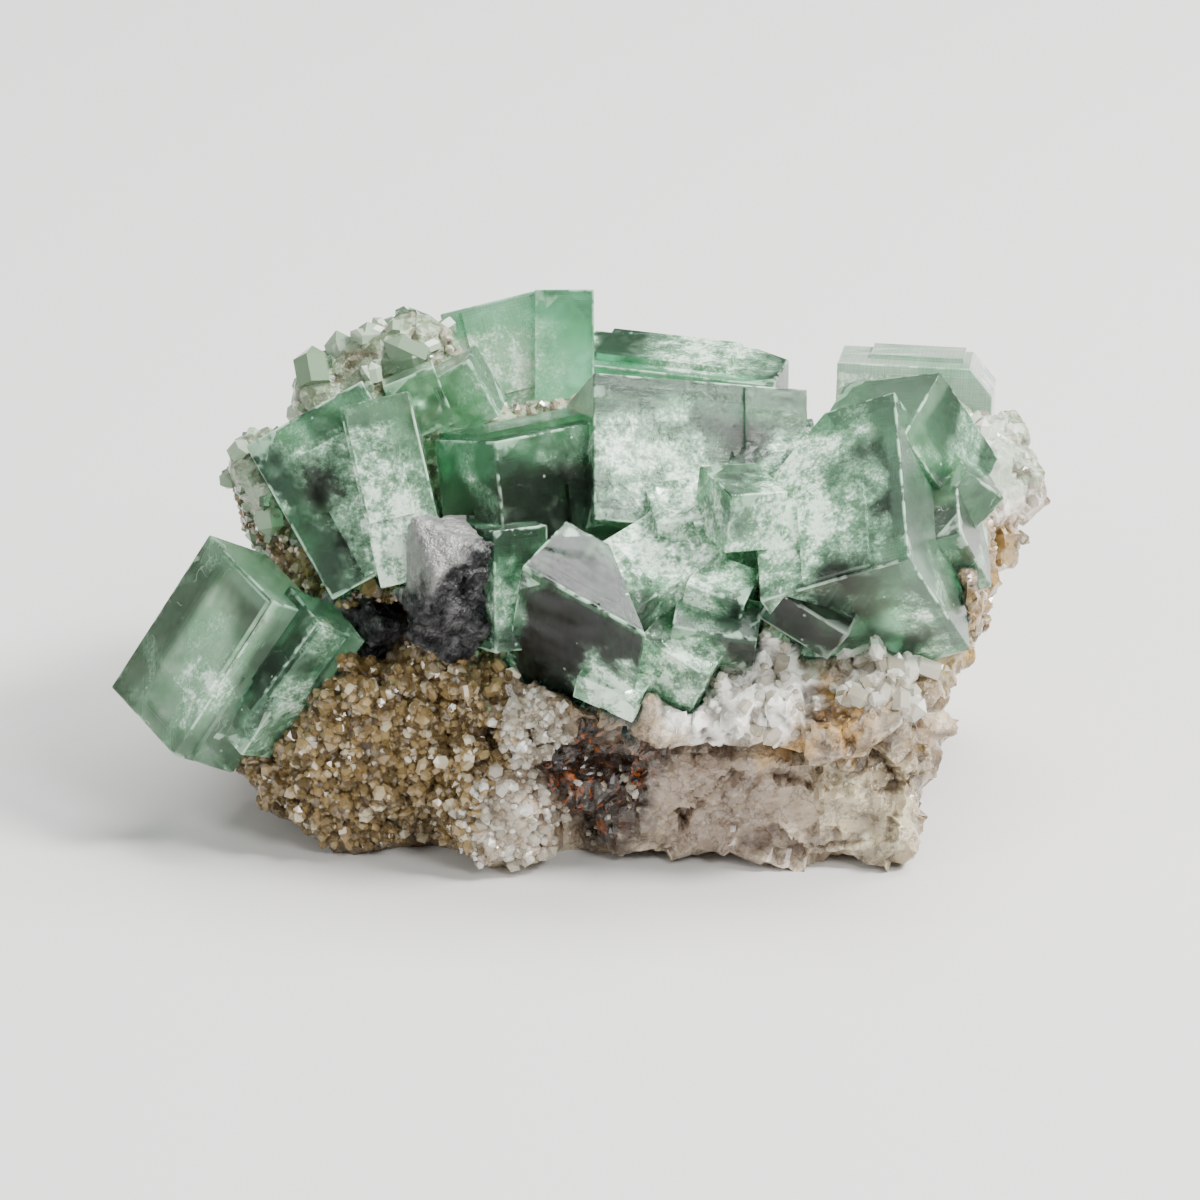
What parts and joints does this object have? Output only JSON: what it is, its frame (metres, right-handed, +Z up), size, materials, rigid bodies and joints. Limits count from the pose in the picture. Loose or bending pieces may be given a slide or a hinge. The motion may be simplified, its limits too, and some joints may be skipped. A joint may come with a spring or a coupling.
{
  "type": "fluorite cluster",
  "caption": "Cluster of intergrown green fluorite cubes standing on a rough block of druse quartz rock, with grey metallic lead ore lumps; lies on a flat patch.",
  "frame": {"origin": "on the resting surface, under the middle of the whole specimen", "axes": "+X to the right along the specimen's length, +Y away from its show side, +Z up"},
  "size_m": [0.0613, 0.0409, 0.0303],
  "materials": {
    "quartz_rock": "rough broken rock with sugary, honey-brown to beige quartz grains",
    "fluorite": "clear to cloudy green crystal with glossy flat faces",
    "frosted_fluorite": "frosted pale green crystal",
    "lead_ore": "pitted grey metallic ore"
  },
  "bodies": {
    "root": {"matrix": "quartz_rock", "fluorite_main": "fluorite", "fluorite_upper_left": "fluorite", "fluorite_left": "fluorite", "fluorite_back": "fluorite", "fluorite_far_right": "frosted_fluorite", "galena_front": "lead_ore", "galena_left": "lead_ore"}
  },
  "joints": []
}
